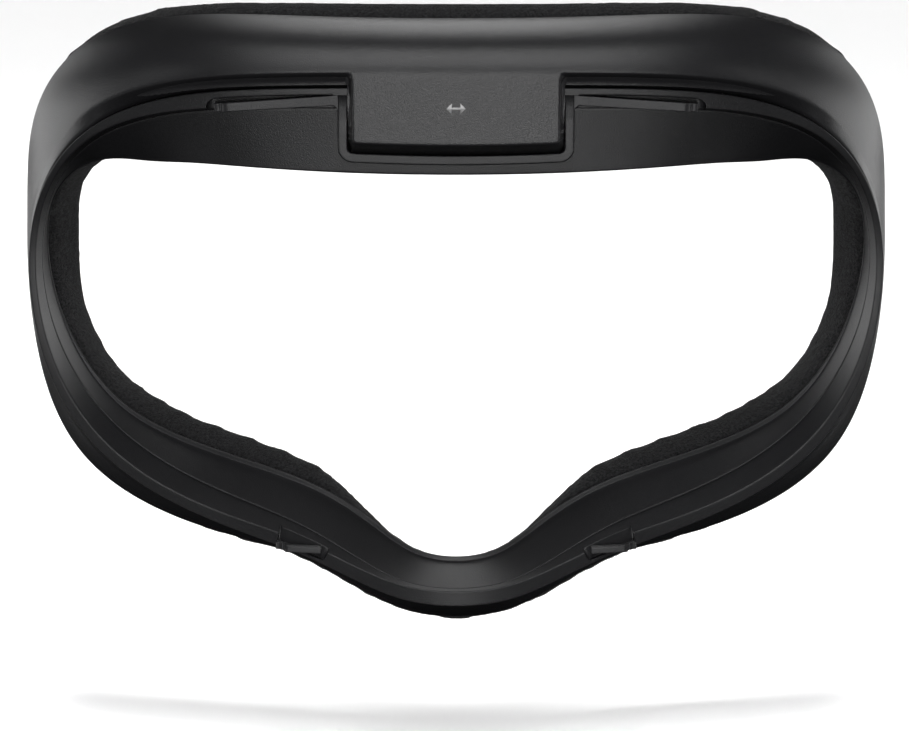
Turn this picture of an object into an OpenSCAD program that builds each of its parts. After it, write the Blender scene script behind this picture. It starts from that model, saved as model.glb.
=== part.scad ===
// Facial interface of a head-worn display: the ring that stands between the
// display housing and the wearer's face. A moulded shroud and rim carry four
// snap arms in front and a fabric-covered foam cushion behind.
//
// +X is to the right as seen from the display side, +Y goes towards the face,
// +Z is up. The origin is on the seat face under the centre tab.
//
// Every ring part is a closed loft. Its cross-sections are drawn in a plane
// that holds the local outward normal of the rim and the Y axis, as points
// [out, back]: "out" is measured outwards from the rim's outer edge and
// "back" is measured from the rim's front face.

/* [Rim outline] */
// Width across the rim's outer edge at the temples
rim_width = 165; // [150:1:200]
// Height of the rim's top edge above the eye line
brow_height = 42; // [38:0.5:51]
// Drop of the rim's nose edge below the eye line
nose_drop = 55; // [46:0.5:66]
// How far the temples sweep back behind the brow
temple_sweep = 17.5; // [12:0.5:21]
// How far the nose edge stands forward of the brow
nose_reach = 12; // [8:0.5:15]

/* [Shroud] */
// Depth of the shroud behind the rim's front face
shroud_depth = 15; // [12.5:0.5:18]
// Largest outward flare of the shroud, at the brow's shoulders
brow_flare = 15; // [12:0.5:18]
// Wall of the shroud
shroud_wall = 1.2; // [0.9:0.05:1.3]
// Height of the step between the brow edge and the rim
step_height = 5; // [4:0.25:6]
// Distance by which the brow edge lies above the rim
step_rise = 3; // [2.4:0.2:3.6]

/* [Rim frame] */
// Width of the rim's front face at the brow
land_width = 3.8; // [3.4:0.1:4.6]
// Thickness of the rim's front face
land_thickness = 1.6; // [1.2:0.1:2]
// Depth of the frame's inner wall at the brow
seam_depth = 7; // [6.5:0.25:8]
// Inward lean of the frame's inner wall at the cheeks
wall_lean = 3.1; // [2.4:0.1:3.8]

/* [Pad carrier] */
// Height of the forehead flange below the rim
flange_height = 17.4; // [15.5:0.2:20]
// Depth of the carrier's lip at the nose
lip_depth = 16; // [15.2:0.2:17]
// Wall of the carrier
carrier_wall = 0.9; // [0.7:0.05:0.95]

/* [Cushion] */
// How far the cushion stands behind the shroud
cushion_depth = 12; // [9:0.5:15]
// Inward reach of the cushion at the brow
cushion_reach = 15.5; // [13:0.5:18]
// How far the cushion stands proud of the shroud's back edge at the brow
cushion_proud = 3; // [2:0.25:4]
// Thickness of the knitted cover
fabric_thickness = 1; // [0.6:0.1:1.4]
// Thickness of the double-sided tape
tape_thickness = 0.3; // [0.2:0.05:0.4]

/* [Centre tab] */
// Width of the tab's face
tab_width = 39; // [32:0.5:46]
// Height of the tab's face below the brow edge
tab_height = 13; // [10:0.5:14]
// Draft of the tab's sides
tab_side_draft = 0.8; // [0.4:0.1:1.2]
// Draft of the tab's lower edge
tab_lower_draft = 2.2; // [1.2:0.1:2.8]
// Corner radius of the tab
tab_corner = 1; // [0.6:0.1:1.4]
// Downward bow of the tab's lower edge
tab_bow = 0.5; // [0:0.1:0.8]
// Width of the rim that runs around the tab
tab_rim_width = 1.8; // [1.4:0.1:2.4]

/* [Snap arms] */
// Length of an upper arm from its root to its hook
upper_arm_length = 22.8; // [18:0.2:26]
// Thickness of an upper arm
upper_arm_thickness = 1.7; // [1.2:0.1:2]
// Downward slope of a free upper arm, in degrees
upper_arm_slope = 3.5; // [3.5:0.25:5]
// Length of a lower arm from its root to its hook
lower_arm_length = 8.6; // [7.5:0.1:9.4]
// Thickness of a lower arm
lower_arm_thickness = 1.3; // [1:0.1:1.5]
// Depth of an upper arm
upper_arm_depth = 3.5; // [3:0.25:4.5]
// Depth of a lower arm
lower_arm_depth = 2; // [1.6:0.1:2.2]
// Clearance around the snap arms
arm_clearance = 0.25; // [0.2:0.05:0.4]

/* [Hidden] */

satin_black = "#2b2b2c";
rim_black = "#242425";
tape_white = "#d8d6d0";
foam_grey = "#3a3a3c";
knit_black = "#161617";

// The rim's shape from the brow's centre (first row) round the left side to the
// nose's centre (last row). The curve is a cubic B-spline through this polygon,
// so the shroud's surfaces have no breaks in curvature. The columns are:
// side, share of half the rim width            rise, share of the brow height, or of the nose drop
// sweep, share of the temple sweep, or of the nose reach
// flare, share of the brow flare               proud, 1 where the brow edge stands forward
// land, share of the land width                lean, share of the wall lean
// seam, share of the seam depth                lip, share of the flange height
// lip back, share of the lip depth             reach, share of the cushion reach
// bulge, share of the cushion's proud distance
SHAPE = [
    // side   rise  sweep flare proud land  lean  seam  lip    lip back reach bulge
    [0,      1,      0,    0.8,  1,    1,    0.23, 1,    1,     0.5,   1,     1],
    [0.245,  1,      0,    0.81, 1,    1,    0.23, 1,    0.98,  0.5,   0.98,  0.97],
    [0.47,   0.995,  0.05, 0.87, 1,    0.95, 0.23, 1,    0.91,  0.5,   0.935, 0.87],
    [0.64,   0.965,  0.2,  0.95, 0.95, 0.76, 0.3,  0.93, 0.8,   0.53,  0.86,  0.67],
    [0.79,   0.875,  0.43, 1,    0.75, 0.53, 0.33, 0.86, 0.66,  0.6,   0.73,  0.23],
    [0.895,  0.725,  0.66, 0.71, 0.35, 0.34, 0.3,  0.79, 0.32,  0.69,  0.4,   0],
    [0.965,  0.525,  0.86, 0.28, 0.1,  0.34, 0.22, 0.71, 0.12,  0.75,  0.43,  0],
    [1,      0.275,  1,    0.1,  0,    0.36, 0.22, 0.71, 0.13,  0.75,  0.555, 0.07],
    [0.998, -0.025,  1,    0.09, 0,    0.38, 0.27, 0.71, 0.21,  0.75,  0.53,  0.13],
    [0.955, -0.28,   0.84, 0.21, 0,    0.45, 0.63, 0.71, 0.33,  0.78,  0.6,   0.23],
    [0.85,  -0.52,   0.57, 0.41, 0,    0.56, 0.93, 0.71, 0.45,  0.81,  0.77,  0.3],
    [0.685, -0.68,   0.29, 0.37, 0,    0.53, 1,    0.71, 0.58,  0.875, 0.905, 0.4],
    [0.51,  -0.775,  0.06, 0.285, 0,   0.58, 0.87, 0.71, 0.645, 0.875, 0.98,  0.5],
    [0.365, -0.835, -0.25, 0.19, 0,    0.68, 0.63, 0.57, 0.64,  0.94,  0.95,  0.57],
    [0.24,  -0.915, -0.58, 0.23, 0,    0.63, 0.33, 0.4,  0.53,  1,     0.62,  0.53],
    [0.125, -0.985, -0.88, 0.31, 0,    0.74, 0.07, 0.32, 0.4,   1,     0.405, 0.57],
    [0,     -1,     -1,    0.35, 0,    0.79, 0,    0.32, 0.355, 1,     0.37,  0.57],
];
last_row = len(SHAPE) - 1;
bays = 2 * last_row;

// Cross-sections in each bay between two rows of the table
shell_steps = 5;
cushion_steps = 4;

// Where the parts meet, and how far a cut runs past the part that it cuts
join_gap = 0.08;
cut_margin = 0.1;
tab_face = -step_height;
tab_face_drop = 0.2;
tab_foot_drop = 1.4;
brow_edge_height = brow_height + step_rise;
tab_foot_width = tab_width + 2 * tab_side_draft;
tab_foot_bottom = brow_edge_height - tab_height - tab_lower_draft;
tab_rim_gap = 0.1;
tab_rim_inner_width = tab_foot_width + 2 * tab_rim_gap;
tab_rim_inner_bottom = tab_foot_bottom - tab_rim_gap;
tab_rim_corner = tab_corner + tab_rim_width;

// The seat is the lower run of the rim around the tab, and holds the origin
seat_height = tab_rim_inner_bottom - tab_rim_width / 2;

// Upper arm: its round root is let into the rim around the tab. Its slot reaches
// further below the rim's front face at the hook than at the root, for its swing.
upper_root_radius = upper_arm_thickness / 2;
upper_root_sunk = 0.5;
upper_root_side = tab_rim_inner_width / 2 + tab_rim_width + upper_root_radius - upper_root_sunk;
upper_band_width = 1.4;
upper_root_height = brow_height - upper_band_width - arm_clearance - upper_root_radius;
upper_front = 0.2;
upper_slot_end = 1.7;
upper_slot_tip_drop = 3;
upper_slot_root_drop = 0.5;

// Lower arm: its root pivot lies in the cheek's rim, close to the nose
lower_root_radius = lower_arm_thickness / 2;
lower_root_bay = 13.35;
lower_root_inset = 2.4;
lower_arm_slope = 3;
lower_front = -0.7;
lower_slot_end = 0.5;
lower_slot_height = 4;
lower_slot_front = 2;

// Hook at the free end of an arm: a chamfered shoulder, then a set-back nose
hook_length = 1.3;
hook_shoulder = 1;
hook_setback = 0.9;

// ---- Plane geometry of a cross-section -----------------------------------

function unit(v) = v / norm(v);
function left_of(v) = unit([-v[1], v[0]]);
function reversed(list) = [for (i = [len(list) - 1 : -1 : 0]) list[i]];
function amount(t, i) = is_list(t) ? t[i] : t;

// The path moved sideways by t, to the left of its direction, with mitred corners
function moved(path, t) = [
    for (i = [0 : len(path) - 1])
        let (
            before = left_of(path[max(i, 1)] - path[max(i, 1) - 1]),
            after = left_of(path[min(i, len(path) - 2) + 1] - path[min(i, len(path) - 2)]),
            mitre = unit(before + after)
        )
        path[i] + mitre * amount(t, i) / (mitre * before)
];

// A wall of thickness t along the path
function wall(path, t) = concat(path, reversed(moved(path, t)));

// ---- The ring ----------------------------------------------------------------

// One row of the table in millimetres; rows past the nose mirror the left side.
// A row's values have these places:
SIDE = 0;
RISE = 1;
SWEEP = 2;
FLARE = 3;
PROUD = 4;
LAND = 5;
SEAM_IN = 6;
SEAM_BACK = 7;
LIP = 8;
LIP_BACK = 9;
REACH = 10;
BULGE = 11;
function signed_share(s, above, below) = s >= 0 ? s * above : s * below;
function ring_row(i) =
    let (
        k = (i % bays + bays) % bays,
        r = SHAPE[k <= last_row ? k : bays - k],
        side = (k <= last_row ? -1 : 1) * r[0] * rim_width / 2
    )
    [
        side,
        signed_share(r[1], brow_height, nose_drop),
        signed_share(r[2], temple_sweep, nose_reach),
        r[3] * brow_flare,
        r[4],
        r[5] * land_width,
        r[5] * land_width + r[6] * wall_lean,
        r[7] * seam_depth,
        r[8] * flange_height,
        r[9] * lip_depth,
        r[10] * cushion_reach,
        r[11] * cushion_proud
    ];

// Cubic B-spline weights and their slopes
function weights(f) = [pow(1 - f, 3), 3 * pow(f, 3) - 6 * f * f + 4, -3 * pow(f, 3) + 3 * f * f + 3 * f + 1,
                       pow(f, 3)] / 6;
function slopes(f) = [-pow(1 - f, 2), 3 * f * f - 4 * f, -3 * f * f + 2 * f + 1, f * f] / 2;
function blended(i, w) = w[0] * ring_row(i - 1) + w[1] * ring_row(i) + w[2] * ring_row(i + 1)
                         + w[3] * ring_row(i + 2);

// The section values at place u on the ring, from 0 at the brow to bays / 2 at the nose
function values_at(u) = blended(floor(u), weights(u - floor(u)));
function outward_at(u) =
    let (d = blended(floor(u), slopes(u - floor(u))))
    unit([d[RISE], -d[SIDE]]);

// Section points [out, back] at place u, as points in space
function placed(u, points) =
    let (v = values_at(u), n = outward_at(u))
    [for (p = points) [v[SIDE] + n[0] * p[0], v[SWEEP] + p[1], v[RISE] + n[1] * p[0] - seat_height]];

// Side faces of a loft with m points in each section, between sections i and j.
// The first half of a section's points is its outer skin, and the rest lead back
// along its inner skin; a solid one has an outer skin only. The diagonals of the
// two skins run the same way, and the right side's mirror the left side's. So a
// thin wall keeps its thickness where it twists, and two parts that face each
// other keep their distance.
function band(i, j, m, outer_points, right_side) = [
    for (k = [0 : m - 1])
        let (a = i * m + k, b = i * m + (k + 1) % m, c = j * m + (k + 1) % m, d = j * m + k)
        each (k < outer_points) != right_side ? [[a, d, c], [a, c, b]] : [[a, d, b], [b, d, c]]
];

module closed_loft(sections, solid = false) {
    m = len(sections[0]);
    count = len(sections);
    outer_points = solid ? m : m / 2;
    polyhedron(
        points = [for (s = sections) each s],
        faces = [
            for (i = [0 : count - 1])
                each band(i, (i + 1) % count, m, outer_points, i >= count / 2)
        ],
        convexity = 10
    );
}

module open_loft(sections, right_sides) {
    m = len(sections[0]);
    count = len(sections);
    outer_points = m / 2;
    polyhedron(
        points = [for (s = sections) each s],
        faces = concat(
            [[for (k = [0 : m - 1]) k]],
            [for (i = [0 : count - 2]) each band(i, i + 1, m, outer_points, right_sides[i])],
            [[for (k = [m - 1 : -1 : 0]) (count - 1) * m + k]]
        ),
        convexity = 10
    );
}

function around(steps) = [for (i = [0 : bays * steps - 1]) i / steps];
function span(from, to, steps) = [for (i = [0 : round((to - from) * steps)]) from + i / steps];

// A flat outline in X and Z, extruded backwards from the given depth
module slab(front, depth) {
    translate([0, front + depth, -seat_height])
        rotate([90, 0, 0])
            linear_extrude(depth)
                children();
}

// ---- Cross-sections -------------------------------------------------------------

// Shroud: from behind the rim, forward up the step to the brow edge, then back
// along the flare. Away from the brow the edge sinks into the plain flare.
brow_crown = 1.35;
side_crown = 0.27;
sunk_edge_share = 0.3;
function shroud_outside(v) =
    let (
        sunk_edge = sunk_edge_share * [v[FLARE], shroud_depth],
        edge = v[PROUD] * [step_rise, -step_height] + (1 - v[PROUD]) * sunk_edge,
        heel = [v[FLARE], shroud_depth],
        crown = -left_of(heel - edge) * (v[PROUD] * brow_crown + (1 - v[PROUD]) * side_crown)
    )
    [[0, land_thickness], edge, edge + (heel - edge) / 3 + crown,
     edge + (heel - edge) * 2 / 3 + crown, heel];
largest_front_share = 0.5;
function front_thickness(v) = min(shroud_wall, largest_front_share * v[LAND]);
function shroud_inside(v) =
    moved(shroud_outside(v), concat(front_thickness(v), [for (i = [1 : 4]) shroud_wall]));
function shroud_section(v) = concat(shroud_outside(v), reversed(shroud_inside(v)));

// How far out the shroud's inner skin lies at the given depth, close to its heel
function shroud_inside_at(v, depth) =
    let (inside = shroud_inside(v), heel = inside[len(inside) - 1], along = heel - inside[len(inside) - 2])
    heel[0] + (depth - heel[1]) * along[0] / along[1];

// Rim frame: the front face and the inner wall that leads back to the seam
largest_wall_share = 0.45;
function inner_wall(v) = min(land_thickness, largest_wall_share * v[LAND]);
function frame_section(v) = [
    [0, 0],
    [0, land_thickness],
    [-v[LAND] + inner_wall(v), land_thickness],
    [-v[SEAM_IN] + inner_wall(v), v[SEAM_BACK]],
    [-v[SEAM_IN], v[SEAM_BACK]],
    [-v[LAND], 0],
];

// Pad carrier: a back plate from the shroud's heel in to the lip, and a
// front wall from the lip out to the frame's seam. The back plate has points
// at the tape's two edges, so the tape lies parallel to it.
tape_outer = 0.12;
tape_inner = 0.88;
function carrier_heel(v) =
    let (
        lip = [-v[LIP], v[LIP_BACK]],
        front = left_of(lip - [v[FLARE], shroud_depth]) * carrier_wall
    )
    [shroud_inside_at(v, shroud_depth + front[1]) - front[0] - join_gap, shroud_depth];
function back_plate(v, share) =
    let (heel = carrier_heel(v), lip = [-v[LIP], v[LIP_BACK]])
    heel + (lip - heel) * share;
function back_plate_at(v, out) =
    let (heel = carrier_heel(v), along = [-v[LIP], v[LIP_BACK]] - heel)
    heel[1] + (out - heel[0]) * along[1] / along[0];
function carrier_path(v) = [
    back_plate(v, 0),
    back_plate(v, tape_outer),
    back_plate(v, tape_inner),
    back_plate(v, 1),
    [-v[SEAM_IN] + inner_wall(v) / 2, v[SEAM_BACK] + join_gap],
];
function carrier_section(v) = wall(carrier_path(v), carrier_wall);

// Tape on the back plate
function tape_section(v) =
    let (
        outer = back_plate(v, tape_outer) + [0, join_gap],
        inner = back_plate(v, tape_inner) + [0, join_gap],
        up = [0, tape_thickness]
    )
    [outer, outer + up, inner + up, inner];

// The cushion lies on the tape
pad_lift = join_gap + tape_thickness + 2 * join_gap;

// Outside of the cushion: from its outer front edge on the back plate, back over
// the face side, and forward to its inner front edge by the lip. Each point is
// a share of the cushion's width, measured inwards, and a share of its depth.
CUSHION = [[0.02, 0.2], [0, 0.45], [0.1, 0.85], [0.3, 1], [0.65, 0.97], [0.92, 0.75], [1, 0.4]];
cushion_plate_share = 0.03;
cushion_inner_inset = 0.6;
cushion_lip_inset = 0.4;
function cushion_outside(v) =
    let (
        outer = v[FLARE] + v[BULGE],
        width = outer + v[REACH],
        finish_out = max(-v[REACH] + cushion_inner_inset, -v[LIP] + cushion_lip_inset),
        finish_back = max(v[LIP_BACK] + carrier_wall,
                          back_plate_at(v, finish_out + fabric_thickness + join_gap))
    )
    concat(
        [back_plate(v, cushion_plate_share) + [0, pad_lift]],
        [for (c = CUSHION) [outer - c[0] * width, shroud_depth + c[1] * cushion_depth]],
        [[finish_out, finish_back + pad_lift]]
    );
function cover_section(v) = wall(cushion_outside(v), fabric_thickness);
function foam_section(v) = moved(cushion_outside(v), fabric_thickness + join_gap);

// ---- Snap arms --------------------------------------------------------------------

// Outline of an arm that points towards -X from its root pivot at the origin
module arm_outline(length, thickness) {
    circle(d = thickness, $fn = 32);
    translate([-length, -thickness / 2])
        square([length, thickness]);
}

// Arm from y = 0 backwards, with its shoulder and its set-back hook nose
module snap_arm(length, thickness, depth) {
    difference() {
        translate([0, depth, 0])
            rotate([90, 0, 0])
                linear_extrude(depth)
                    arm_outline(length, thickness);
        translate([-length, 0, 0])
            rotate([0, 0, 45])
                cube([2 * hook_shoulder, sqrt(2) * hook_shoulder, 2 * thickness], center = true);
        translate([-length - cut_margin, -cut_margin, -thickness])
            cube([hook_length + cut_margin, hook_setback + cut_margin, 2 * thickness]);
    }
}

upper_pivot = [-upper_root_side, upper_front, upper_root_height - seat_height];
lower_pivot = placed(lower_root_bay, [[-lower_root_inset, lower_front]])[0];

module upper_snap() {
    translate(upper_pivot)
        rotate([0, -upper_arm_slope, 0])
            snap_arm(upper_arm_length, upper_arm_thickness, upper_arm_depth);
}

module lower_snap() {
    translate(lower_pivot)
        rotate([0, lower_arm_slope, 0])
            snap_arm(lower_arm_length, lower_arm_thickness, lower_arm_depth);
}

// Space that an arm needs in the frame: its root socket and its swing
module upper_slot() {
    swing = upper_arm_length + upper_slot_end;
    slab(-cut_margin, cut_margin + upper_front + upper_arm_depth + arm_clearance)
        union() {
            translate([-upper_root_side, upper_root_height])
                circle(r = upper_root_radius + arm_clearance, $fn = 48);
            polygon([
                [-upper_root_side, brow_height - upper_band_width],
                [-upper_root_side - swing, brow_height - upper_band_width],
                [-upper_root_side - swing, brow_height - land_width - upper_slot_tip_drop],
                [-upper_root_side, brow_height - land_width - upper_slot_root_drop],
            ]);
        }
}

module lower_slot() {
    swing = lower_arm_length + lower_slot_end;
    translate(lower_pivot)
        rotate([0, lower_arm_slope, 0])
            translate([0, lower_arm_depth + arm_clearance, 0])
                rotate([90, 0, 0])
                    linear_extrude(lower_arm_depth + arm_clearance + lower_slot_front) {
                        circle(r = lower_root_radius + arm_clearance, $fn = 48);
                        translate([-swing, -lower_root_radius - arm_clearance])
                            square([swing, lower_arm_thickness + lower_slot_height]);
                    }
}

// ---- Parts -----------------------------------------------------------------------------

// Rectangle with rounded corners, whose lower edge is bowed down by the tab's bow
bow_steps = 12;
module bowed_rectangle(width, bottom, top, radius) {
    half = width / 2 - radius;
    offset(r = radius, $fn = 32)
        polygon(concat(
            [for (i = [0 : bow_steps])
                let (share = 2 * i / bow_steps - 1)
                [share * half, bottom + radius + tab_bow * share * share]],
            [[half, top - radius], [-half, top - radius]]
        ));
}

// Drafted block of the centre tab, from its face back to its foot on the seat
// plane. The hollow behind its wall is the same block, shrunk and moved back.
module tab_block(shrink, front, back) {
    sheet = 0.01;
    hull() {
        slab(front, sheet)
            bowed_rectangle(tab_width - 2 * shrink, brow_edge_height - tab_height + shrink,
                            brow_edge_height - tab_face_drop - shrink, tab_corner);
        slab(back - sheet, sheet)
            bowed_rectangle(tab_foot_width - 2 * shrink, tab_foot_bottom + shrink,
                            brow_edge_height - tab_foot_drop - shrink, tab_corner);
    }
}

module outer_shroud() {
    color(satin_black)
        union() {
            closed_loft([for (u = around(shell_steps)) placed(u, shroud_section(values_at(u)))]);
            difference() {
                tab_block(0, tab_face, 0);
                tab_block(shroud_wall, tab_face + shroud_wall, cut_margin);
            }
        }
}

module tab_rim_outline() {
    difference() {
        bowed_rectangle(tab_rim_inner_width + 2 * tab_rim_width, tab_rim_inner_bottom - tab_rim_width,
                        brow_height - upper_band_width, tab_rim_corner);
        bowed_rectangle(tab_rim_inner_width, tab_rim_inner_bottom, brow_height, tab_corner);
    }
}

module rim_frame() {
    color(rim_black)
        difference() {
            union() {
                closed_loft([for (u = around(shell_steps)) placed(u, frame_section(values_at(u)))]);
                slab(0, seam_depth)
                    tab_rim_outline();
            }
            for (side = [0, 1])
                mirror([side, 0, 0]) {
                    upper_slot();
                    lower_slot();
                }
        }
}

module pad_carrier() {
    color(rim_black)
        closed_loft([for (u = around(shell_steps)) placed(u, carrier_section(values_at(u)))]);
}

module upper_snap_left() { color(satin_black) upper_snap(); }
module upper_snap_right() { color(satin_black) mirror([1, 0, 0]) upper_snap(); }
module lower_snap_left() { color(satin_black) lower_snap(); }
module lower_snap_right() { color(satin_black) mirror([1, 0, 0]) lower_snap(); }

// Places on the ring where the four tapes end
brow_tape_end = 3;
side_tape_start = 3.4;
side_tape_end = 12.6;
nose_tape_start = 13;

// Tape from one place on the ring to another. The ring's right side lies before
// the brow's centre and after the nose's centre.
module tape(from, to) {
    places = span(from, to, shell_steps);
    color(tape_white)
        open_loft([for (u = places) placed(u, tape_section(values_at(u)))],
                  [for (u = places) u < 0 || u >= bays / 2]);
}

module brow_tape() { tape(-brow_tape_end, brow_tape_end); }
module left_tape() { tape(side_tape_start, side_tape_end); }
module right_tape() { tape(bays - side_tape_end, bays - side_tape_start); }
module nose_tape() { tape(nose_tape_start, bays - nose_tape_start); }

module foam_core() {
    color(foam_grey)
        closed_loft([for (u = around(cushion_steps)) placed(u, foam_section(values_at(u)))], solid = true);
}

module fabric_cover() {
    color(knit_black)
        closed_loft([for (u = around(cushion_steps)) placed(u, cover_section(values_at(u)))]);
}

outer_shroud();
rim_frame();
pad_carrier();
upper_snap_left();
upper_snap_right();
lower_snap_left();
lower_snap_right();
brow_tape();
left_tape();
right_tape();
nose_tape();
foam_core();
fabric_cover();
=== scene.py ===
"""Looks of a headset's facial interface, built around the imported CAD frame.

Lengths in the section functions are in millimetres and are turned into metres when a
section is placed. A section is a closed outline of points (out, back): "out" runs
outwards from the rim's outer edge and "back" runs from the rim's front face to the face.
"""
import math
from collections import namedtuple

import bmesh
import bpy
from mathutils import Matrix, Vector, noise


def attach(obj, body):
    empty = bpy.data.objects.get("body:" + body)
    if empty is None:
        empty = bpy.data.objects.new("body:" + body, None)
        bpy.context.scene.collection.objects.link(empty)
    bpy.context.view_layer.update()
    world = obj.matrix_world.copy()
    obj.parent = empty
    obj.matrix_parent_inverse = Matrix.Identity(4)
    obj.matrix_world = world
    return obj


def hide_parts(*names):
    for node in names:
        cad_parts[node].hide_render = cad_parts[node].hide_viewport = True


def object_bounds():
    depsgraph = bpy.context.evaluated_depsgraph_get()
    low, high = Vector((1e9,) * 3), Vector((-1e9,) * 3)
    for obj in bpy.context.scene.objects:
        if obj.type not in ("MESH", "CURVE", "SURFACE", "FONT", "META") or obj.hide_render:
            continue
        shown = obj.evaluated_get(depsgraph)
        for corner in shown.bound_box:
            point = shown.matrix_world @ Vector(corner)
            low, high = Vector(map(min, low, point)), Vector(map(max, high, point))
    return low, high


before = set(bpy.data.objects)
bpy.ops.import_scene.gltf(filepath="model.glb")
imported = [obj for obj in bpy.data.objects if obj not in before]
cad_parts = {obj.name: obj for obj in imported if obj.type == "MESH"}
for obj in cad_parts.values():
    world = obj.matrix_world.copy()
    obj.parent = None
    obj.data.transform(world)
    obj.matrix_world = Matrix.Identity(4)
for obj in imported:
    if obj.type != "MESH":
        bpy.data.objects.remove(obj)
cad_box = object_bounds()

MM = 0.001

# ---- Sizes, in millimetres ---------------------------------------------------------------

HALF_WIDTH = 82.5
BROW_HEIGHT = 42
NOSE_DROP = 55
TEMPLE_SWEEP = 17.5
NOSE_REACH = 12
SHROUD_DEPTH = 15
BROW_FLARE = 15
STEP_HEIGHT = 5
STEP_RISE = 3
LAND_WIDTH = 3.8
LAND_THICKNESS = 1.6
SEAM_DEPTH = 7
WALL_LEAN = 3.1
FLANGE_HEIGHT = 17.4
LIP_DEPTH = 16
SHROUD_WALL = 1.2
CARRIER_WALL = 0.9
CUSHION_DEPTH = 12
CUSHION_REACH = 15.5
CUSHION_PROUD = 3

# Height of the seat, which holds the origin, above the eye line
SEAT_HEIGHT = 28.8

# Centre tab and the rim that runs around it
TAB_HALF_WIDTH = 19.5
TAB_FOOT_HALF_WIDTH = 20.3
TAB_LOW = -10
TAB_FOOT_LOW = -12.2
TAB_BOW = 0.5
TAB_EDGE_RADIUS = 0.45
TAB_CORNER = 1
TAB_RIM_WIDTH = 1.8
TAB_RIM_INSIDE = 20.4
TAB_RIM_GAP = 0.1
TAB_FOOT_BACK = 0.4

# The rim's shape from the brow's centre round the left side to the nose's centre, as
# shares of the sizes above. The curve is a cubic B-spline through this polygon.
SHAPE = [
    # side  rise    sweep  flare  proud land  lean  seam  lip    back   reach  bulge
    (0,     1,      0,     0.8,   1,    1,    0.23, 1,    1,     0.5,   1,     1),
    (0.245, 1,      0,     0.81,  1,    1,    0.23, 1,    0.98,  0.5,   0.98,  0.97),
    (0.47,  0.995,  0.05,  0.87,  1,    0.95, 0.23, 1,    0.91,  0.5,   0.935, 0.87),
    (0.64,  0.965,  0.2,   0.95,  0.9,  0.76, 0.3,  0.93, 0.8,   0.53,  0.86,  0.67),
    (0.79,  0.875,  0.43,  1,     0.5,  0.53, 0.33, 0.86, 0.66,  0.6,   0.73,  0.23),
    (0.895, 0.725,  0.66,  0.71,  0.08, 0.34, 0.3,  0.79, 0.32,  0.69,  0.4,   0),
    (0.965, 0.525,  0.86,  0.28,  0,    0.34, 0.22, 0.71, 0.12,  0.75,  0.43,  0),
    (1,     0.275,  1,     0.1,   0,    0.36, 0.22, 0.71, 0.13,  0.75,  0.555, 0.07),
    (0.998, -0.025, 1,     0.09,  0,    0.38, 0.27, 0.71, 0.21,  0.75,  0.53,  0.13),
    (0.955, -0.28,  0.84,  0.21,  0,    0.45, 0.63, 0.71, 0.33,  0.78,  0.6,   0.23),
    (0.85,  -0.52,  0.57,  0.41,  0,    0.56, 0.93, 0.71, 0.45,  0.81,  0.77,  0.3),
    (0.685, -0.68,  0.29,  0.37,  0,    0.53, 1,    0.71, 0.58,  0.875, 0.905, 0.4),
    (0.51,  -0.775, 0.06,  0.285, 0,    0.58, 0.87, 0.71, 0.645, 0.875, 0.98,  0.5),
    (0.365, -0.835, -0.25, 0.19,  0,    0.68, 0.63, 0.57, 0.64,  0.94,  0.95,  0.57),
    (0.24,  -0.915, -0.58, 0.23,  0,    0.63, 0.33, 0.4,  0.53,  1,     0.62,  0.53),
    (0.125, -0.985, -0.88, 0.31,  0,    0.74, 0.07, 0.32, 0.4,   1,     0.405, 0.57),
    (0,     -1,     -1,    0.35,  0,    0.79, 0,    0.32, 0.355, 1,     0.37,  0.57),
]
LAST_ROW = len(SHAPE) - 1
BAYS = 2 * LAST_ROW

Row = namedtuple("Row", "side rise sweep flare proud land lean seam lip lip_back reach bulge")


# ---- The ring ----------------------------------------------------------------------------

def row(i):
    """Row i of the table in millimetres; rows past the nose mirror the left side."""
    k = i % BAYS
    r = Row(*SHAPE[k if k <= LAST_ROW else BAYS - k])
    return Row(
        side=r.side * HALF_WIDTH * (-1 if k <= LAST_ROW else 1),
        rise=r.rise * (BROW_HEIGHT if r.rise >= 0 else NOSE_DROP),
        sweep=r.sweep * (TEMPLE_SWEEP if r.sweep >= 0 else NOSE_REACH),
        flare=r.flare * BROW_FLARE,
        proud=r.proud,
        land=r.land * LAND_WIDTH,
        lean=r.lean * WALL_LEAN,
        seam=r.seam * SEAM_DEPTH,
        lip=r.lip * FLANGE_HEIGHT,
        lip_back=r.lip_back * LIP_DEPTH,
        reach=r.reach * CUSHION_REACH,
        bulge=r.bulge * CUSHION_PROUD,
    )


def blended(u, weights):
    """The four rows around place u, added up with the given weights."""
    first = math.floor(u) - 1
    rows = [row(first + k) for k in range(4)]
    return Row(*(sum(w * r[c] for w, r in zip(weights, rows)) for c in range(len(Row._fields))))


def values_at(u):
    """Section values at place u, which runs from 0 at the brow to BAYS / 2 at the nose."""
    f = u - math.floor(u)
    return blended(u, [(1 - f) ** 3 / 6, (3 * f ** 3 - 6 * f * f + 4) / 6,
                       (-3 * f ** 3 + 3 * f * f + 3 * f + 1) / 6, f ** 3 / 6])


def outward_at(u):
    """Unit vector, in X and Z, that points outwards from the rim at place u."""
    f = u - math.floor(u)
    slope = blended(u, [-((1 - f) ** 2) / 2, (3 * f * f - 4 * f) / 2,
                        (-3 * f * f + 2 * f + 1) / 2, f * f / 2])
    return Vector((slope.rise, -slope.side)).normalized()


def placed(u, outline):
    """A section's outline as points in the row frame, in metres."""
    v = values_at(u)
    n = outward_at(u)
    return [Vector((v.side + n.x * out, v.sweep + back, v.rise + n.y * out - SEAT_HEIGHT)) * MM
            for out, back in outline]


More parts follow.
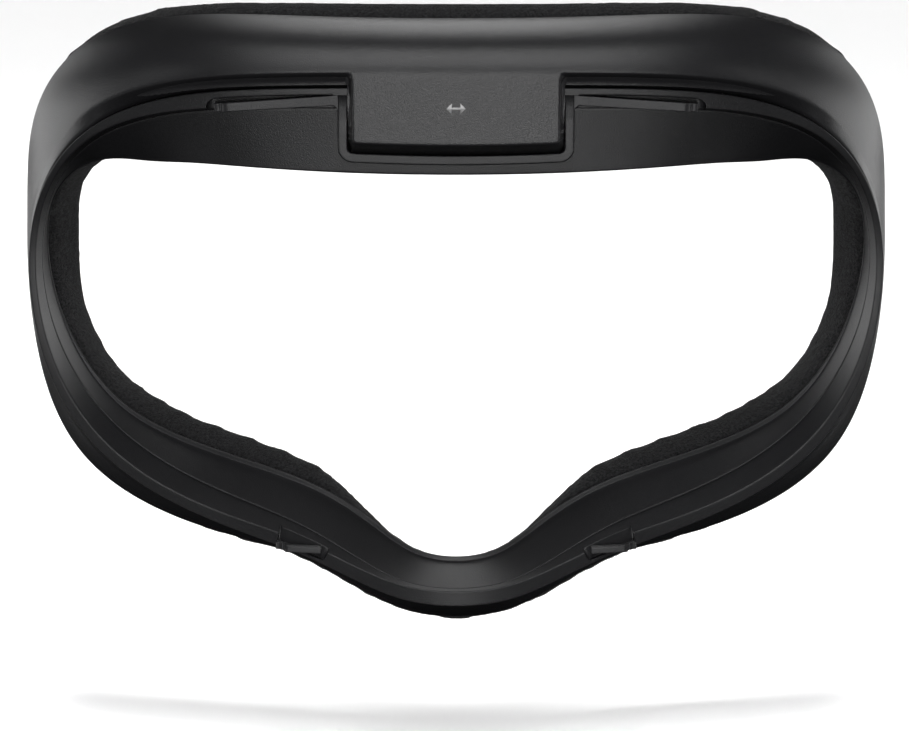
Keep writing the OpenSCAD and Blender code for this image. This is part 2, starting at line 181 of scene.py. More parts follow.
def place_of_side(x, low=0.0, high=3.0):
    """Place on the brow's left half where the rim is x millimetres from the middle."""
    for _ in range(40):
        middle = (low + high) / 2
        low, high = (middle, high) if -values_at(middle).side < x else (low, middle)
    return (low + high) / 2


def mirrored_places(places):
    """Places on the left side together with their mirror images, in order round the ring."""
    left = sorted(set(round(u, 5) for u in places))
    right = [BAYS - u for u in reversed(left) if 0 < u < BAYS / 2]
    return left + right


def even_places(steps):
    """Evenly spaced places on the left side, from the brow to the nose."""
    return [i / steps for i in range(LAST_ROW * steps + 1)]


# ---- Outlines ----------------------------------------------------------------------------

def smooth(share):
    """Share from 0 to 1 that starts and ends gently."""
    t = min(1, max(0, share))
    return t * t * (3 - 2 * t)


def between(a, b, share):
    """Point at the given share of the way from a to b."""
    return tuple(p + (q - p) * share for p, q in zip(a, b))


ROUND_STEPS = 4
HOLD = 0.25


def bent(start, corner, end, count):
    """Points on a curve from start to end, drawn towards the corner between them."""
    steps = [k / (count - 1) for k in range(count)]
    return [between(between(start, corner, t), between(corner, end, t), t) for t in steps]


def rounded(corners):
    """Closed outline through corners (out, back, cut).

    A corner with a cut is rounded over that length of both its sides, with a holding
    point just before and after it, so that flat faces stay flat when they are shaded.
    A corner whose cut is None stays a single point."""
    outline = []
    for i, (out, back, cut) in enumerate(corners):
        here = Vector((out, back))
        if cut is None:
            outline.append(here)
            continue
        before = Vector(corners[i - 1][:2]) - here
        after = Vector(corners[(i + 1) % len(corners)][:2]) - here
        limit = 0.4 * min(before.length, after.length)
        length = min(cut, limit)
        start = here + before.normalized() * length
        end = here + after.normalized() * length
        outline.append(here + before.normalized() * min(length + HOLD, 1.2 * limit))
        for k in range(ROUND_STEPS + 1):
            t = k / ROUND_STEPS
            outline.append(start * (1 - t) ** 2 + here * 2 * t * (1 - t) + end * t * t)
        outline.append(here + after.normalized() * min(length + HOLD, 1.2 * limit))
    return [(p.x, p.y) for p in outline]


def loft(name, loops, closed):
    """Mesh through closed loops of points, bridged one to the next."""
    bm = bmesh.new()
    rings = []
    for points in loops:
        verts = [bm.verts.new(p) for p in points]
        rings.append([bm.edges.new((a, b)) for a, b in zip(verts, verts[1:] + verts[:1])])
    pairs = list(zip(rings, rings[1:]))
    if closed:
        pairs.append((rings[-1], rings[0]))
    for first, second in pairs:
        bmesh.ops.bridge_loops(bm, edges=first + second)
    if not closed:
        for ring in (rings[0], rings[-1]):
            bmesh.ops.contextual_create(bm, geom=ring)
    bmesh.ops.recalc_face_normals(bm, faces=bm.faces)
    return finished(name, bm)


def finished(name, bm):
    """Object made from a bmesh, smooth shaded, at the origin."""
    mesh = bpy.data.meshes.new(name)
    bm.to_mesh(mesh)
    bm.free()
    mesh.shade_smooth()
    piece = bpy.data.objects.new(name, mesh)
    bpy.context.scene.collection.objects.link(piece)
    return piece


def ring(name, section, places):
    """Loft of a section function right round the ring."""
    return loft(name, [placed(u, section(u)) for u in places], closed=True)


# ---- Shroud ------------------------------------------------------------------------------

# The height of the flare's crown at the sides, and the place of its control point on the
# brow, as shares of the run outwards and backwards
SIDE_CROWN = 0.3
BROW_RISE = 0.78
BROW_TILT = 0.03

# The row where the tab's part of the ring ends, and a hair's width for comparing sides
LAST_BROW_ROW = 3
HAIR = 0.01

# Where the brow edge sinks to in the flare, as shares of the flare and of its depth
SUNK_EDGE_OUT = 0.22
SUNK_EDGE_BACK = 0.3

# Points along the crown, the tab's face and the rounded edge, and how much of its sides
# the rounding takes up
CROWN_POINTS = 10
FACE_POINTS = 6
EDGE_POINTS = 7
EDGE_SHARE = 0.35


def crown_curve(v):
    """Brow edge, heel, and the crowned skin between them."""
    sunk = (SUNK_EDGE_OUT * v.flare, LAND_THICKNESS + SUNK_EDGE_BACK * (SHROUD_DEPTH - LAND_THICKNESS))
    edge = between(sunk, (STEP_RISE, -STEP_HEIGHT), v.proud)
    heel = (v.flare, SHROUD_DEPTH)
    run = Vector(heel) - Vector(edge)
    outside = Vector((run.y, -run.x)).normalized()
    flat = Vector(edge) + run / 2 + outside * 2 * SIDE_CROWN
    crowned = (edge[0] + BROW_RISE * run.x, edge[1] + BROW_TILT * run.y)
    return edge, heel, bent(edge, between(flat, crowned, v.proud), heel, CROWN_POINTS + 1)[1:-1]


def tab_outline_low(x, low, half_width):
    """How low the tab reaches at side x: a bowed lower edge with rounded corners."""
    bowed = low - TAB_BOW * (1 - (x / half_width) ** 2)
    inset = max(0, abs(x) - (half_width - TAB_CORNER))
    return bowed + TAB_CORNER - math.sqrt(max(0, TAB_CORNER ** 2 - inset ** 2))


def tab_edge_places():
    """Places that round the tab's side edge, its side wall's foot, and just outside it."""
    arc = [TAB_HALF_WIDTH - TAB_EDGE_RADIUS * (1 - math.cos(math.radians(a)))
           for a in (0, 22, 45, 67, 90)]
    corner = [TAB_HALF_WIDTH - TAB_CORNER * s for s in (0.62, 0.8, 1)]
    sides = arc + corner + [TAB_HALF_WIDTH - 1.4, TAB_FOOT_HALF_WIDTH, TAB_FOOT_HALF_WIDTH + 0.04,
                            TAB_FOOT_HALF_WIDTH + 0.4]
    return [place_of_side(x) for x in sides]


def shroud_section(u):
    """Shroud and centre tab in one skin, so that the tab runs on from the brow."""
    v = values_at(u)
    x = abs(v.side)
    edge, heel, curve = crown_curve(v)
    on_brow = min(u, BAYS - u) < LAST_BROW_ROW
    if on_brow and x <= TAB_HALF_WIDTH + HAIR:
        inset = min(TAB_EDGE_RADIUS, TAB_HALF_WIDTH - x)
        rise = TAB_EDGE_RADIUS - math.sqrt(max(0, TAB_EDGE_RADIUS ** 2 - (TAB_EDGE_RADIUS - inset) ** 2))
        front = -STEP_HEIGHT + rise
        foot = (tab_outline_low(x, TAB_FOOT_LOW, TAB_FOOT_HALF_WIDTH), TAB_FOOT_BACK)
        low = (tab_outline_low(x, TAB_LOW, TAB_HALF_WIDTH), front)
        knee = (0, front)
    elif on_brow and x <= TAB_FOOT_HALF_WIDTH + HAIR:
        foot = (TAB_FOOT_LOW + TAB_CORNER, TAB_FOOT_BACK)
        low = (TAB_LOW + TAB_CORNER, TAB_FOOT_BACK)
        knee = (0, TAB_FOOT_BACK)
    else:
        foot = (0, LAND_THICKNESS)
        low = between(foot, edge, 0.35)
        knee = between(foot, edge, 0.6)
    turn = bent(between(edge, knee, EDGE_SHARE), edge, between(edge, curve[0], EDGE_SHARE), EDGE_POINTS)
    inner_heel = (heel[0] - SHROUD_WALL, SHROUD_DEPTH + 0.2)
    inner_edge = (edge[0] - SHROUD_WALL, edge[1] + SHROUD_WALL)
    back_of_foot = (min(0, foot[0] + 0.6), LAND_THICKNESS + 0.6)
    corners = [(*foot, None), (*low, 0.45)]
    corners += [(*between(low, knee, k / FACE_POINTS), None) for k in range(1, FACE_POINTS)]
    corners += [(*p, None) for p in turn + curve]
    corners += [(*heel, 0.45), (*inner_heel, 0.3)]
    corners += [(p[0] - SHROUD_WALL, p[1] + 0.3, None) for p in reversed(curve[2::3])]
    corners += [(*inner_edge, None), (*back_of_foot, None)]
    return rounded(corners)


# ---- Rim ---------------------------------------------------------------------------------

# A pocket: its first and last distance from the middle, the band left outside it, its
# depth as a share of the wall's, and the length of its soft inner and outer ends
Pocket = namedtuple("Pocket", "start end band depth inner_end outer_end")
UPPER_POCKET = Pocket(22.7, 47.4, 1.4, 0.58, 0.5, 2.2)
LOWER_POCKET = Pocket(25.2, 34.4, 0.75, 0.4, 0.5, 0.6)


def pocket_at(u):
    """The pocket on this part of the ring, and how deep place u lies in it, from 0 to 1."""
    left = min(u, BAYS - u)
    pocket = UPPER_POCKET if left < LAST_ROW / 2 else LOWER_POCKET
    side = abs(values_at(u).side)
    inside = min((side - pocket.start) / pocket.inner_end, (pocket.end - side) / pocket.outer_end)
    return pocket, math.sqrt(1 - (1 - min(1, max(0, inside))) ** 2)


def pocket_places():
    """Places that follow the soft ends of both pockets."""
    places = []
    for pocket, low, high in ((UPPER_POCKET, 0.0, 4.0), (LOWER_POCKET, 16.0, 9.0)):
        for s in (-0.05, 0, 0.02, 0.08, 0.2, 0.5, 1):
            places.append(place_of_side(pocket.start + s * pocket.inner_end, low, high))
            places.append(place_of_side(pocket.end - s * pocket.outer_end, low, high))
    return places


def rim_section(u):
    """Front face and inner wall; in a pocket the face narrows and the wall steps back."""
    v = values_at(u)
    wall = min(LAND_THICKNESS, 0.45 * v.land)
    pocket, share = pocket_at(u)
    floor = pocket.depth * v.seam
    seam_in = v.land + v.lean
    face = (-v.land, 0)
    seam = (-seam_in, v.seam)
    near = between(between(seam, face, 0.35), (-v.land - v.lean * pocket.depth, floor), share)
    far = between(between(seam, face, 0.7), (-pocket.band, floor), share)
    inner_edge = between(face, (-pocket.band, 0), share)
    back_out = between((-v.land + wall, LAND_THICKNESS), (-0.3, LAND_THICKNESS), share)
    back_in = between(between((-v.land + wall, LAND_THICKNESS), (-seam_in + wall, v.seam), 0.5),
                      (-0.3, 0.5 * (floor + v.seam)), share)
    return rounded([
        (0, 0, 0.25),
        (0, LAND_THICKNESS, None),
        (*back_out, None),
        (*back_in, None),
        (-seam_in + wall, v.seam, None),
        (*seam, 0.15),
        (*near, 0.15),
        (*far, 0.15),
        (*inner_edge, 0.3),
    ])


def tab_rim():
    """Band that runs down one side of the tab, under it and up the other side."""
    half = TAB_RIM_INSIDE + TAB_RIM_WIDTH / 2
    bottom = BROW_HEIGHT + TAB_FOOT_LOW - TAB_RIM_GAP - TAB_RIM_WIDTH / 2
    top = BROW_HEIGHT - UPPER_POCKET.band
    turn = TAB_CORNER + TAB_RIM_WIDTH / 2
    route = [Vector((-half, top)), Vector((-half, (top + bottom) / 2))]
    for a in range(0, 91, 15):
        c, s = math.cos(math.radians(a)), math.sin(math.radians(a))
        route.append(Vector((-half + turn - turn * c, bottom + turn - turn * s)))
    run = half - turn
    for k in range(1, 12):
        x = -run + 2 * run * k / 12
        route.append(Vector((x, bottom - TAB_BOW * (1 - (x / run) ** 2))))
    route += [Vector((-p.x, p.y)) for p in reversed(route[:9])]
    loops = []
    for i, p in enumerate(route):
        along = (route[min(i + 1, len(route) - 1)] - route[max(i - 1, 0)]).normalized()
        across = Vector((-along.y, along.x))
        w = TAB_RIM_WIDTH / 2
        outline = rounded([(-w, 0, 0.3), (-w, SEAM_DEPTH, 0.2), (w, SEAM_DEPTH, 0.2), (w, 0, 0.3)])
        loops.append([Vector((p.x + across.x * a, back, p.y + across.y * a - SEAT_HEIGHT)) * MM
                      for a, back in outline])
    return loft("tab_rim", loops, closed=False)


# ---- Pad carrier -------------------------------------------------------------------------

# Width of the ledge behind the rim's seam, and the thickness of the lip's blunt end
LEDGE = 0.3
LIP_END = 0.9


def carrier_section(u):
    """Front wall from the seam to a blunt lip, and the back plate out to the heel."""
    v = values_at(u)
    ledge = LEDGE * v.lean / WALL_LEAN
    seam = (-v.land - v.lean - ledge, v.seam + 0.05)
    strip = 0.35 + 0.5 * smooth(-v.rise / 30)
    shoulder = (-v.lip + strip, v.lip_back - 0.1)
    lip = (-v.lip, v.lip_back)
    lip_end = (-v.lip + 0.1, v.lip_back + LIP_END)
    heel = (v.flare - SHROUD_WALL - 0.6, SHROUD_DEPTH)
    front_leg = Vector(seam) - Vector(lip)
    back_leg = Vector(heel) - Vector(lip_end)
    inside = Vector(lip) + (front_leg.normalized() + back_leg.normalized()) * 0.35 * front_leg.length
    corners = [(*seam, 0.3)]
    corners += [(*between(seam, shoulder, s), None) for s in (0.25, 0.5, 0.75)]
    corners += [(*shoulder, 0.12), (*lip, 0.25), (*lip_end, 0.3)]
    corners += [(*between(lip_end, heel, s), None) for s in (0.3, 0.6)]
    corners += [(*heel, 0.2), (heel[0] - 0.3, SHROUD_DEPTH - CARRIER_WALL, 0.1),
                (inside.x, inside.y, None), (seam[0] + CARRIER_WALL, seam[1] + 0.35, None)]
    return rounded(corners)


# ---- Cushion -----------------------------------------------------------------------------

# Room for the tape between the cushion and the back plate
PLATE_GAP = 0.6

# The swelling: voxel size, length, the pressure that blows the cover up, the normal below
# which a point lies on the glued side, and how far a point may move
REMESH_SIZE = 2.2
SWELL_FRAMES = 20
PRESSURE = 4
GLUED_FACING = -0.4
STRETCH = 0.3
SMOOTH_PASSES = 5

# The pile: spacing and height of its tufts
PILE_GRAIN = 0.55
PILE_HEIGHT = 0.12


def cushion_section(u):
    """Outline of the covered foam, a little slack, resting on the carrier's back plate."""
    v = values_at(u)
    outer = v.flare + v.bulge
    inner = -v.reach
    reach = outer - inner
    heel = (v.flare - 1.6, SHROUD_DEPTH + PLATE_GAP)
    lip = (max(inner + 0.7, -v.lip + 0.5), v.lip_back + LIP_END + PLATE_GAP)
    deep = SHROUD_DEPTH + CUSHION_DEPTH
    corners = [
        (*heel, 0.4),
        (outer - 0.35, SHROUD_DEPTH + 0.2 * CUSHION_DEPTH, None),
        (outer, SHROUD_DEPTH + 0.45 * CUSHION_DEPTH, None),
        (outer - 0.04 * reach, SHROUD_DEPTH + 0.72 * CUSHION_DEPTH, None),
        (outer - 0.16 * reach, deep - 0.9, None),
        (outer - 0.3 * reach, deep - 0.1, None),
        (outer - 0.48 * reach, deep, None),
        (outer - 0.66 * reach, deep - 0.45, None),
        (inner + 0.16 * reach, deep - 0.16 * CUSHION_DEPTH, None),
        (inner + 0.05 * reach, deep - 0.34 * CUSHION_DEPTH, None),
        (inner, deep - 0.58 * CUSHION_DEPTH, None),
    ]
    side = (inner, deep - 0.58 * CUSHION_DEPTH)
    corners += [(*between(side, lip, s), None) for s in (0.33, 0.66)]
    corners += [(*lip, 0.4)]
    corners += [(*between(lip, heel, s), None) for s in (0.2, 0.4, 0.6, 0.8)]
    return rounded(corners)


def cushion():
    """The pad: foam that presses its cover out, and the cover's short pile."""
    piece = ring("cushion", cushion_section, mirrored_places(even_places(6)))
    swell(piece)
    refine = piece.modifiers.new("refine", "SUBSURF")
    refine.levels = refine.render_levels = 1
    apply_modifiers(piece)
    raise_pile(piece)
    return piece


def apply_modifiers(piece):
    """Keep the mesh that the modifiers give, and take the modifiers off."""
    shape = piece.evaluated_get(bpy.context.evaluated_depsgraph_get())
    piece.data = bpy.data.meshes.new_from_object(shape)
    piece.modifiers.clear()


def swell(piece):
    """Blow the cover up a little with a short cloth simulation. Its glued side stays put,
    and no point moves further than the cover's stretch."""
    grid = piece.modifiers.new("grid", "REMESH")
    grid.mode = "VOXEL"
    grid.voxel_size = REMESH_SIZE * MM
    apply_modifiers(piece)
    start = [v.co.copy() for v in piece.data.vertices]
    glued = piece.vertex_groups.new(name="glued")
    glued.add([v.index for v in piece.data.vertices if v.normal.y < GLUED_FACING], 1, "REPLACE")
    cloth = piece.modifiers.new("cloth", "CLOTH")
    cloth.settings.vertex_group_mass = glued.name
    cloth.settings.use_pressure = True
    cloth.settings.uniform_pressure_force = PRESSURE
    cloth.settings.effector_weights.gravity = 0
    cloth.settings.tension_stiffness = 25
    cloth.settings.quality = 4
    for frame_number in range(1, SWELL_FRAMES + 1):
        bpy.context.scene.frame_set(frame_number)
    shape = piece.evaluated_get(bpy.context.evaluated_depsgraph_get())
    swollen = [v.co.copy() for v in shape.data.vertices]
    piece.modifiers.clear()
    piece.vertex_groups.clear()
    bpy.context.scene.frame_set(1)
    for vertex, before, after in zip(piece.data.vertices, start, swollen):
        move = after - before
        if move.length > STRETCH * MM:
            move = move.normalized() * STRETCH * MM
        vertex.co = before + move
    soften = piece.modifiers.new("soften", "SMOOTH")
    soften.factor = 0.5
    soften.iterations = SMOOTH_PASSES
    apply_modifiers(piece)


def raise_pile(piece):
    """Lift the cover's points along their normals into a short uneven pile."""
    for vertex in piece.data.vertices:
        tuft = noise.noise(vertex.co / (PILE_GRAIN * MM))
        vertex.co += vertex.normal * tuft * PILE_HEIGHT * MM


# ---- Snap arms ---------------------------------------------------------------------------

# The arms' root pivots (across, up) and slopes, and the fronts and depths of the arms
UPPER_PIVOT = (-22.55, 39.5 - SEAT_HEIGHT)
LOWER_PIVOT = (-25.7133, -45.2751 - SEAT_HEIGHT)
UPPER_SLOPE = -3.5
LOWER_SLOPE = 3
UPPER_FRONT = 0.12
LOWER_FRONT = -5.0793
UPPER_DEPTH = 3.5
LOWER_DEPTH = 2


def arm(name, pivot, slope, stations, front, depth, side):
    """Arm lofted along its length from stations (distance, below, above, set back)."""
    turn = Matrix.Rotation(math.radians(slope), 3, "Y")
    loops = []
    for distance, below, above, set_back in stations:
        outline = rounded([(-below, front + set_back, 0.16), (-below, front + depth, 0.16),
                           (above, front + depth, 0.16), (above, front + set_back, 0.16)])
        loop = [turn @ Vector((-distance, back, rise)) + Vector((pivot[0], 0, pivot[1]))
                for rise, back in outline]
        loops.append([Vector((p.x * side, p.y, p.z)) * MM for p in loop])
    return loft(name, loops, closed=False)


def upper_arm(name, side):
    """Long arm beside the tab, tapered towards its hook. A fillet under its root runs
    down into the rim around the tab."""
    below, above, taper_below, taper_above = 0.87, 1.05, 0.0048, 0.0096
    stations = [(-0.9, below + 1, above, 0), (-0.3, below + 1, above, 0)]
    for a in range(0, 91, 15):
        c, s = math.cos(math.radians(a)), math.sin(math.radians(a))
        stations.append((0.8 - c, below + 1 - s, above, 0))
    for d, set_back in ((4, 0), (8, 0), (12, 0), (16, 0), (19.8, 0), (20.3, 0), (20.5, 0.03), (20.8, 0.12),
                        (21.1, 0.3), (21.4, 0.6), (21.55, 0.95), (21.7, 1), (21.85, 0.85), (22.1, 0.82),
                        (22.5, 0.86), (22.7, 0.95), (22.8, 1.1)):
        stations.append((d, below - taper_below * d, above - taper_above * d, set_back))
    return arm(name, UPPER_PIVOT, UPPER_SLOPE, stations, UPPER_FRONT, UPPER_DEPTH, side)


def lower_arm(name, side):
    """Short arm in the cheek's rim, with its hook stepped up towards the opening."""
    half = 0.65
    stations = [(d, half, half, set_back) for d, set_back in
                ((-0.2, 0), (0, 0), (0.2, 0), (3, 0), (6, 0), (6.3, 0.05), (6.5, 0.2), (6.7, 0.5))]
    stations += [(6.85, 0.5, 0.8, 0.7), (6.95, 0.4, 1, 0.45), (7.3, 0.3, 1.1, 0.4), (7.5, 0.3, 1.1, 0.6),
                 (7.6, 0.3, 1.1, 0.75), (7.75, 0.2, 1.2, 0.5), (8.2, 0.2, 1.2, 0.5),
                 (8.4, 0.25, 1.1, 0.65)]
    return arm(name, LOWER_PIVOT, LOWER_SLOPE, stations, LOWER_FRONT, LOWER_DEPTH, side)


# ---- Printed mark ------------------------------------------------------------------------

# Height above the eye line, half the length, and the sizes of the heads and the shaft
MARK_RISE = 38.5
MARK_HALF_WIDTH = 1.8
MARK_HEAD = 1
MARK_SHAFT = 0.22
INK_THICKNESS = 0.02


def width_mark():
    """Small two-headed arrow, printed on the middle of the tab's face."""
    quarter = [(MARK_HALF_WIDTH, 0), (MARK_HALF_WIDTH - MARK_HEAD, MARK_HEAD),
               (MARK_HALF_WIDTH - MARK_HEAD, MARK_SHAFT)]
    top = quarter + [(-x, z) for x, z in reversed(quarter)]
    outline = top + [(-x, -z) for x, z in top[1:-1]]
    front = -STEP_HEIGHT - INK_THICKNESS
    loops = [[Vector((x, back, MARK_RISE + z - SEAT_HEIGHT)) * MM for x, z in outline]
             for back in (front, -STEP_HEIGHT + INK_THICKNESS)]
    return loft("width_mark", loops, closed=False)


# ---- Materials ---------------------------------------------------------------------------

def linear(hex_colour):
    """Linear RGBA from an sRGB hex value."""
    channels = [int(hex_colour[i:i + 2], 16) / 255 for i in (1, 3, 5)]
    return tuple(c / 12.92 if c <= 0.04045 else ((c + 0.055) / 1.055) ** 2.4 for c in channels) + (1,)


def add(tree, kind, settings=None, links=None):
    """Node of a kind with its input values or properties, and links from other sockets."""
    node = tree.nodes.new(kind)
    for key, value in (settings or {}).items():
        if key in node.inputs:
            node.inputs[key].default_value = value
        else:
            setattr(node, key, value)
    for key, socket in (links or {}).items():
        tree.links.new(socket, node.inputs[key])
    return node


def blank(name):
    """Empty node material with its Principled shader and Object coordinates."""
    material = bpy.data.materials.new(name)
    material.use_nodes = True
    tree = material.node_tree
    place = add(tree, "ShaderNodeTexCoord").outputs["Object"]
    return material, tree, tree.nodes["Principled BSDF"], place


# Size of the faint cloudiness in moulded plastic
CLOUD_SIZE = 14


def moulded_plastic(name, colour, roughness, grain_mm, bump):
    """Injection-moulded black ABS from a spark-eroded tool: a fine even grain that breaks
    up the sheen into a satin."""
    material, tree, shader, place = blank(name)
    grain = add(tree, "ShaderNodeTexNoise", {"Scale": 1 / (grain_mm * MM), "Detail": 2.0},
                {"Vector": place})
    cloud = add(tree, "ShaderNodeTexNoise", {"Scale": 1 / (CLOUD_SIZE * MM), "Detail": 2.0},
                {"Vector": place})
    level = add(tree, "ShaderNodeMapRange", {"To Min": roughness - 0.05, "To Max": roughness + 0.05},
                {"Value": grain.outputs["Fac"]})
    shade = add(tree, "ShaderNodeMapRange",
                {"From Min": 0.3, "From Max": 0.7, "To Min": 0.9, "To Max": 1.1},
                {"Value": cloud.outputs["Fac"]})
    tint = add(tree, "ShaderNodeMix", {"data_type": "RGBA", "blend_type": "MULTIPLY"})
    tint.inputs["Factor"].default_value = 1
    tint.inputs[6].default_value = linear(colour)
    tree.links.new(shade.outputs["Result"], tint.inputs[7])
    relief = add(tree, "ShaderNodeBump", {"Strength": bump, "Distance": 0.05 * MM},
                 {"Height": grain.outputs["Fac"]})
    tree.links.new(tint.outputs[2], shader.inputs["Base Color"])
    tree.links.new(level.outputs["Result"], shader.inputs["Roughness"])
    tree.links.new(relief.outputs["Normal"], shader.inputs["Normal"])
    shader.inputs["IOR"].default_value = 1.5
    return material


def brushed_knit(name):
    """Brushed polyester knit over foam: short raised fibres, so no loop shows, only a
    matt black with a soft speckle of lighter fibre tips."""
    material, tree, shader, place = blank(name)
    tuft = add(tree, "ShaderNodeTexNoise", {"Scale": 1 / (0.45 * MM), "Detail": 3.0, "Roughness": 0.7},
               {"Vector": place})
    fibre = add(tree, "ShaderNodeTexNoise", {"Scale": 1 / (0.2 * MM), "Detail": 3.0, "Roughness": 0.8},
                {"Vector": place})
    ramp = add(tree, "ShaderNodeValToRGB", None, {"Fac": tuft.outputs["Fac"]})
    ramp.color_ramp.elements[0].position = 0.36
    ramp.color_ramp.elements[0].color = linear("#0b0b0c")
    ramp.color_ramp.elements[1].position = 0.68
    ramp.color_ramp.elements[1].color = linear("#39393b")
    height = add(tree, "ShaderNodeMath", {"operation": "ADD"})
    tree.links.new(tuft.outputs["Fac"], height.inputs[0])
    tree.links.new(fibre.outputs["Fac"], height.inputs[1])
    relief = add(tree, "ShaderNodeBump", {"Strength": 0.9, "Distance": 0.35 * MM},
                 {"Height": height.outputs["Value"]})
    tree.links.new(ramp.outputs["Color"], shader.inputs["Base Color"])
    tree.links.new(relief.outputs["Normal"], shader.inputs["Normal"])
    shader.inputs["Roughness"].default_value = 0.95
    shader.inputs["Specular IOR Level"].default_value = 0.2
    shader.inputs["Sheen Weight"].default_value = 0.15
    shader.inputs["Sheen Roughness"].default_value = 0.5
    return material


def mounting_tape(name):
    """Double-sided tissue tape: off-white, matt, with a faint fibre in the tissue."""
    material, tree, shader, place = blank(name)
    fibre = add(tree, "ShaderNodeTexNoise", {"Scale": 1 / (1.5 * MM), "Detail": 3.0}, {"Vector": place})
    ramp = add(tree, "ShaderNodeValToRGB", None, {"Fac": fibre.outputs["Fac"]})
    ramp.color_ramp.elements[0].color = linear("#c9c6bf")
    ramp.color_ramp.elements[1].color = linear("#e2e0da")
    tree.links.new(ramp.outputs["Color"], shader.inputs["Base Color"])
    shader.inputs["Roughness"].default_value = 0.7
    return material


def pad_ink(name):
    """Pad-printed white ink: thin, matt, slightly uneven."""
    material, tree, shader, place = blank(name)
    uneven = add(tree, "ShaderNodeTexNoise", {"Scale": 1 / (0.5 * MM), "Detail": 2.0}, {"Vector": place})
    ramp = add(tree, "ShaderNodeValToRGB", None, {"Fac": uneven.outputs["Fac"]})
    ramp.color_ramp.elements[0].color = linear("#cfcfcf")
    ramp.color_ramp.elements[1].color = linear("#f2f2f2")
    tree.links.new(ramp.outputs["Color"], shader.inputs["Base Color"])
    shader.inputs["Roughness"].default_value = 0.6
    return material


def paper_floor(name):
    """Seamless background paper: white and matt."""
    material, _, shader, _ = blank(name)
    shader.inputs["Base Color"].default_value = linear("#f7f7f7")
    shader.inputs["Roughness"].default_value = 0.9
    shader.inputs["Specular IOR Level"].default_value = 0.0
    return material


# ---- Assembly ----------------------------------------------------------------------------

shroud_plastic = moulded_plastic("satin_abs_shroud", "#28282a", 0.36, 0.22, 1.0)
rim_plastic = moulded_plastic("satin_abs_rim", "#232325", 0.4, 0.22, 1.0)
carrier_plastic = moulded_plastic("satin_abs_carrier", "#252527", 0.4, 0.22, 1.0)
snap_plastic = moulded_plastic("satin_abs_snap_arm", "#2b2b2d", 0.42, 0.22, 1.0)
knit = brushed_knit("brushed_polyester_knit")
tape = mounting_tape("double_sided_tissue_tape")
ink = pad_ink("white_pad_print")


def dress(piece, material, body, slot, *nodes):
    """Give a piece its finish, its body and the CAD nodes that it stands for."""
    piece.data.materials.clear()
    piece.data.materials.append(material)
    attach(piece, body)
    if nodes:
        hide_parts(*nodes)
    return piece


FINE = even_places(10)
shroud_places = mirrored_places(
    [u for u in FINE if not 0.9 < u < 1.1] + tab_edge_places() + [place_of_side(x) for x in (4, 8, 12, 16)])
dress(ring("shroud", shroud_section, shroud_places), shroud_plastic, "frame", "shroud_plastic",
      "outer_shroud")
rim_places = mirrored_places(FINE + pocket_places())
dress(ring("seat_rim", rim_section, rim_places), rim_plastic, "frame", "rim_plastic", "rim_frame")
dress(tab_rim(), rim_plastic, "frame", "rim_plastic")
dress(ring("carrier", carrier_section, mirrored_places(FINE)), carrier_plastic, "frame", "carrier_plastic",
      "pad_carrier")
pad = dress(cushion(), knit, "frame", "knit_cover", "fabric_cover", "foam_core")
for side, word in ((1, "left"), (-1, "right")):
    dress(upper_arm(f"upper_arm_{word}", side), snap_plastic, f"upper_{word}_arm", "snap_plastic",
          f"upper_snap_{word}")
    dress(lower_arm(f"lower_arm_{word}", side), snap_plastic, f"lower_{word}_arm", "snap_plastic",
          f"lower_snap_{word}")
dress(width_mark(), ink, "frame", None)
for node in ("brow_tape", "left_tape", "right_tape", "nose_tape"):
    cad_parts[node].data.materials.clear()
    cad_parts[node].data.materials.append(tape)

# ---- Stage, light and camera -------------------------------------------------------------

EYE_LINE = Vector((0, 0, -SEAT_HEIGHT * MM))
FLOOR_DROP = 0.0205
CAMERA_AIM = Vector((-0.0003, 0, -0.0106))


def floor():
    bm = bmesh.new()
    bmesh.ops.create_grid(bm, x_segments=1, y_segments=1, size=6)
    bmesh.ops.translate(bm, verts=bm.verts, vec=(0, 0, cad_box[0].z - FLOOR_DROP))
    piece = finished("floor", bm)
    piece.data.materials.append(paper_floor("white_background_paper"))
    piece.visible_diffuse = False
    piece.visible_glossy = False
    piece.visible_shadow = False
    return piece


def soft_light(name, centre, aim, width, height, power):
    """Rectangular softbox at a point, turned to face its aim."""
    data = bpy.data.lights.new(name, "AREA")
    data.shape = "RECTANGLE"
    data.size = width
    data.size_y = height
    data.energy = power
    light = bpy.data.objects.new(name, data)
    light.location = centre
    light.rotation_euler = (Vector(aim) - Vector(centre)).to_track_quat("-Z", "Y").to_euler()
    light.visible_camera = False
    bpy.context.scene.collection.objects.link(light)
    return light


def camera():
    """Long lens straight in front, looking down at the object from a little above."""
    distance = 0.8
    lift = math.radians(8)
    data = bpy.data.cameras.new("camera")
    data.sensor_width = 36
    data.lens = 167.9
    data.clip_start = 0.01
    data.clip_end = 50
    eye = bpy.data.objects.new("camera", data)
    eye.location = EYE_LINE + Vector((0, -math.cos(lift), math.sin(lift))) * distance
    aim = EYE_LINE + CAMERA_AIM
    eye.rotation_euler = (aim - eye.location).to_track_quat("-Z", "Y").to_euler()
    bpy.context.scene.collection.objects.link(eye)
    bpy.context.scene.camera = eye


stage_floor = floor()

LIGHT_DISTANCE = 1.1


def direction(azimuth, elevation):
    """Unit vector to a place round the object; 0, 0 is straight in front."""
    a, e = math.radians(azimuth), math.radians(elevation)
    return Vector((math.sin(a) * math.cos(e), -math.cos(a) * math.cos(e), math.sin(e)))


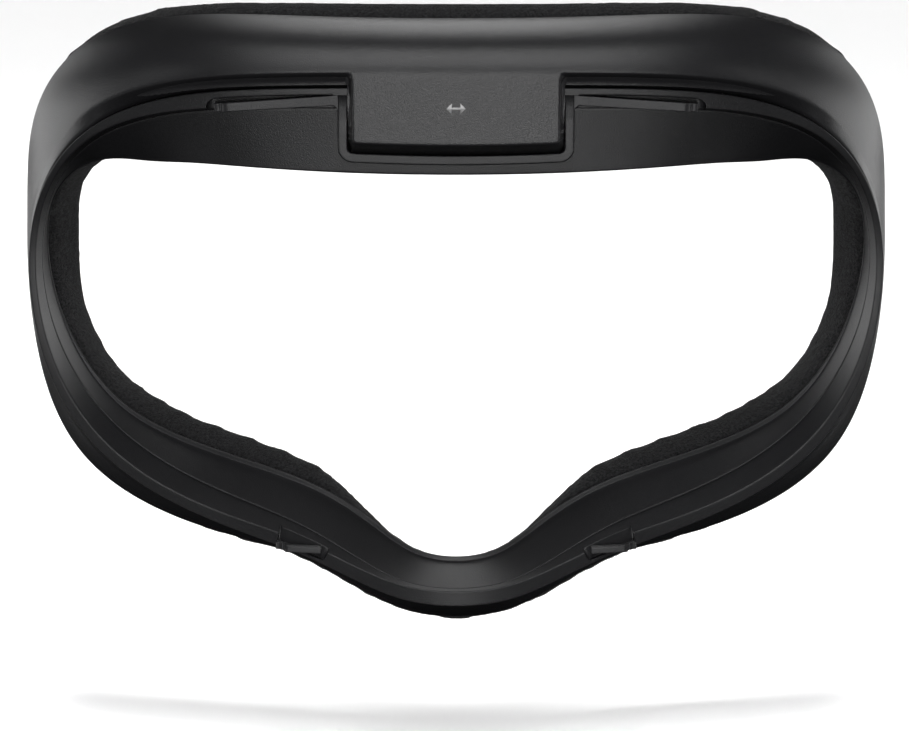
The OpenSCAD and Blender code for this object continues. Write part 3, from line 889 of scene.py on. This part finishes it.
def softbox(name, azimuth, elevation, width, height, power):
    return soft_light(name, EYE_LINE + direction(azimuth, elevation) * LIGHT_DISTANCE, EYE_LINE,
                      width, height, power)


# A narrow strip in front and one overhead draw the highlight down the middle; the pairs
# of panels at the sides light the flanks and the inner walls of the temples.
for elevation, power in ((0, 3.4), (24, 0.7), (46, 1.8), (68, 1.8), (90, 1.4)):
    softbox(f"middle_strip_{elevation}", 0, elevation, 0.09, 0.38, power)
softbox("back_strip", 180, 30, 0.14, 0.4, 0.5)
for side in (-1, 1):
    softbox(f"low_panel_{side}", side * 50, -22, 0.32, 0.38, 0.3)
    softbox(f"cheek_panel_{side}", side * 68, 22, 0.32, 0.38, 0.5)
    softbox(f"flank_panel_{side}", side * 104, 0, 0.32, 0.38, 1.7)
    softbox(f"sill_panel_{side}", side * 108, -22, 0.32, 0.38, 0.9)
    softbox(f"edge_panel_{side}", side * 122, 0, 0.32, 0.38, 1.3)
    softbox(f"rear_panel_{side}", side * 140, 12, 0.32, 0.5, 1)
    softbox(f"glint_panel_{side}", side * 160, 0, 0.32, 0.38, 0.4)


def floor_sun(name, strength, spread, casts_shadow):
    """Even light from above that falls on the floor alone."""
    data = bpy.data.lights.new(name, "SUN")
    data.energy = strength
    data.angle = math.radians(spread)
    data.use_shadow = casts_shadow
    sun = bpy.data.objects.new(name, data)
    bpy.context.scene.collection.objects.link(sun)
    lit = bpy.data.collections.new(f"lit_by_{name}")
    lit.objects.link(stage_floor)
    sun.light_linking.receiver_collection = lit


floor_sun("floor_fill", 0.85, 1, False)
floor_sun("floor_shadow", 2.2, 16, True)

world = bpy.data.worlds.new("studio")
world.use_nodes = True
bpy.context.scene.world = world
backdrop = world.node_tree.nodes["Background"]
backdrop.inputs["Color"].default_value = (1, 1, 1, 1)
seen = add(world.node_tree, "ShaderNodeLightPath").outputs["Is Camera Ray"]
strength = add(world.node_tree, "ShaderNodeMapRange", {"To Min": 0.0, "To Max": 1.0}, {"Value": seen})
world.node_tree.links.new(strength.outputs["Result"], backdrop.inputs["Strength"])
bpy.context.scene.view_settings.view_transform = "Standard"

camera()
